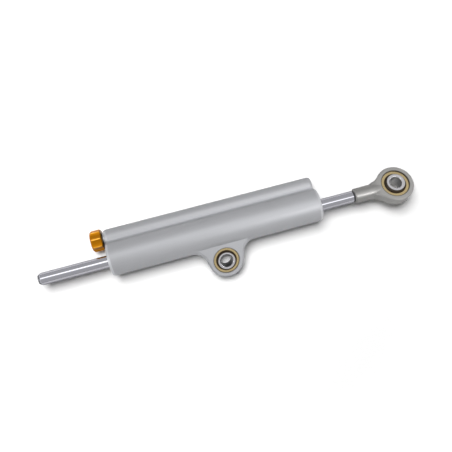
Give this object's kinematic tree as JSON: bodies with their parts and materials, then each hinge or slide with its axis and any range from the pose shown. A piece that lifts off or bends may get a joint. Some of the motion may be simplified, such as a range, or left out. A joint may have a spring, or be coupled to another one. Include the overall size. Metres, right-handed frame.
{
  "type": "steering damper",
  "caption": "Through-rod steering damper with a keyhole-section body, a lug and a rod end with spherical bearings, and a knob that sets the bleed valve.",
  "frame": {"origin": "centre of the spherical bearing in the body's lug", "axes": "+Z along the lug bearing's bore, +X along the rod towards the rod end, +Y from the lug to the rod's axis"},
  "size_m": [0.2526, 0.0485, 0.0265],
  "materials": {
    "satin_aluminium": "bead-blasted and clear anodised, satin",
    "rod_end_aluminium": "turned and milled, satin",
    "machined_aluminium": "machined",
    "polished_chrome": "ground and hard chromed",
    "gold_anodised_aluminium": "gold anodised",
    "bearing_brass": "turned",
    "bearing_steel": "ground and polished",
    "clip_steel": "oiled spring steel",
    "seal_rubber": "matt nitrile rubber",
    "band_plastic": "filled bearing plastic"
  },
  "bodies": {
    "cylinder": {"cylinder_body": "satin_aluminium", "seal_head_left": "machined_aluminium", "rod_bush_left": "bearing_brass", "rod_seal_left": "seal_rubber", "wiper_left": "seal_rubber", "head_o_ring_left": "seal_rubber", "head_circlip_left": "clip_steel", "seal_head_right": "machined_aluminium", "rod_bush_right": "bearing_brass", "rod_seal_right": "seal_rubber", "wiper_right": "seal_rubber", "head_o_ring_right": "seal_rubber", "head_circlip_right": "clip_steel", "valve_gland": "machined_aluminium", "gland_o_ring": "seal_rubber", "spindle_o_ring": "seal_rubber", "needle_guide": "bearing_brass", "valve_seat": "bearing_brass", "reservoir_plug": "machined_aluminium", "plug_o_ring": "seal_rubber", "plug_circlip": "clip_steel", "lug_race": "bearing_brass"},
    "piston": {"piston": "machined_aluminium", "piston_band": "band_plastic", "piston_o_ring": "seal_rubber"},
    "rod": {"piston_rod": "polished_chrome", "piston_circlip_left": "clip_steel", "piston_circlip_right": "clip_steel", "rod_end": "rod_end_aluminium", "rod_end_race": "bearing_brass"},
    "rod_end_ball": {"rod_end_ball": "bearing_steel"},
    "lug_ball": {"lug_ball": "bearing_steel"},
    "adjuster": {"adjuster_knob": "gold_anodised_aluminium", "adjuster_spindle": "clip_steel", "knob_screw": "clip_steel"},
    "needle": {"needle": "clip_steel"},
    "floating_piston": {"floating_piston": "machined_aluminium", "floating_piston_o_ring": "seal_rubber"}
  },
  "joints": [
    {"name": "piston_slide", "type": "slide", "parent": "cylinder", "child": "piston", "axis": [1, 0, 0], "range_m": [-0.0235, 0.0425]},
    {"name": "rod_turn", "type": "hinge", "parent": "piston", "child": "rod", "pos_m": [0, 0.0178, -0.0034], "axis": [1, 0, 0], "continuous": true},
    {"name": "rod_end_swivel", "type": "hinge", "parent": "rod", "child": "rod_end_ball", "pos_m": [0.1225, 0.0178, -0.0034], "axis": [0, 0.6018, 0.7986], "continuous": true},
    {"name": "lug_swivel", "type": "hinge", "parent": "cylinder", "child": "lug_ball", "pos_m": [0, 0, 0], "axis": [0, 0, 1], "continuous": true},
    {"name": "knob_turn", "type": "hinge", "parent": "cylinder", "child": "adjuster", "pos_m": [-0.0722, 0.03042, -0.01291], "axis": [1, 0, 0], "range_deg": [-540, 540]},
    {"name": "needle_feed", "type": "slide", "parent": "adjuster", "child": "needle", "axis": [1, 0, 0], "range_m": [-0.00113, 0.00113]},
    {"name": "floating_piston_slide", "type": "slide", "parent": "cylinder", "child": "floating_piston", "axis": [1, 0, 0], "range_m": [-0.004, 0.004]}
  ],
  "couplings": [
    {"joint": "needle_feed", "follows": "knob_turn", "m_per_rad": 0.00011937}
  ]
}
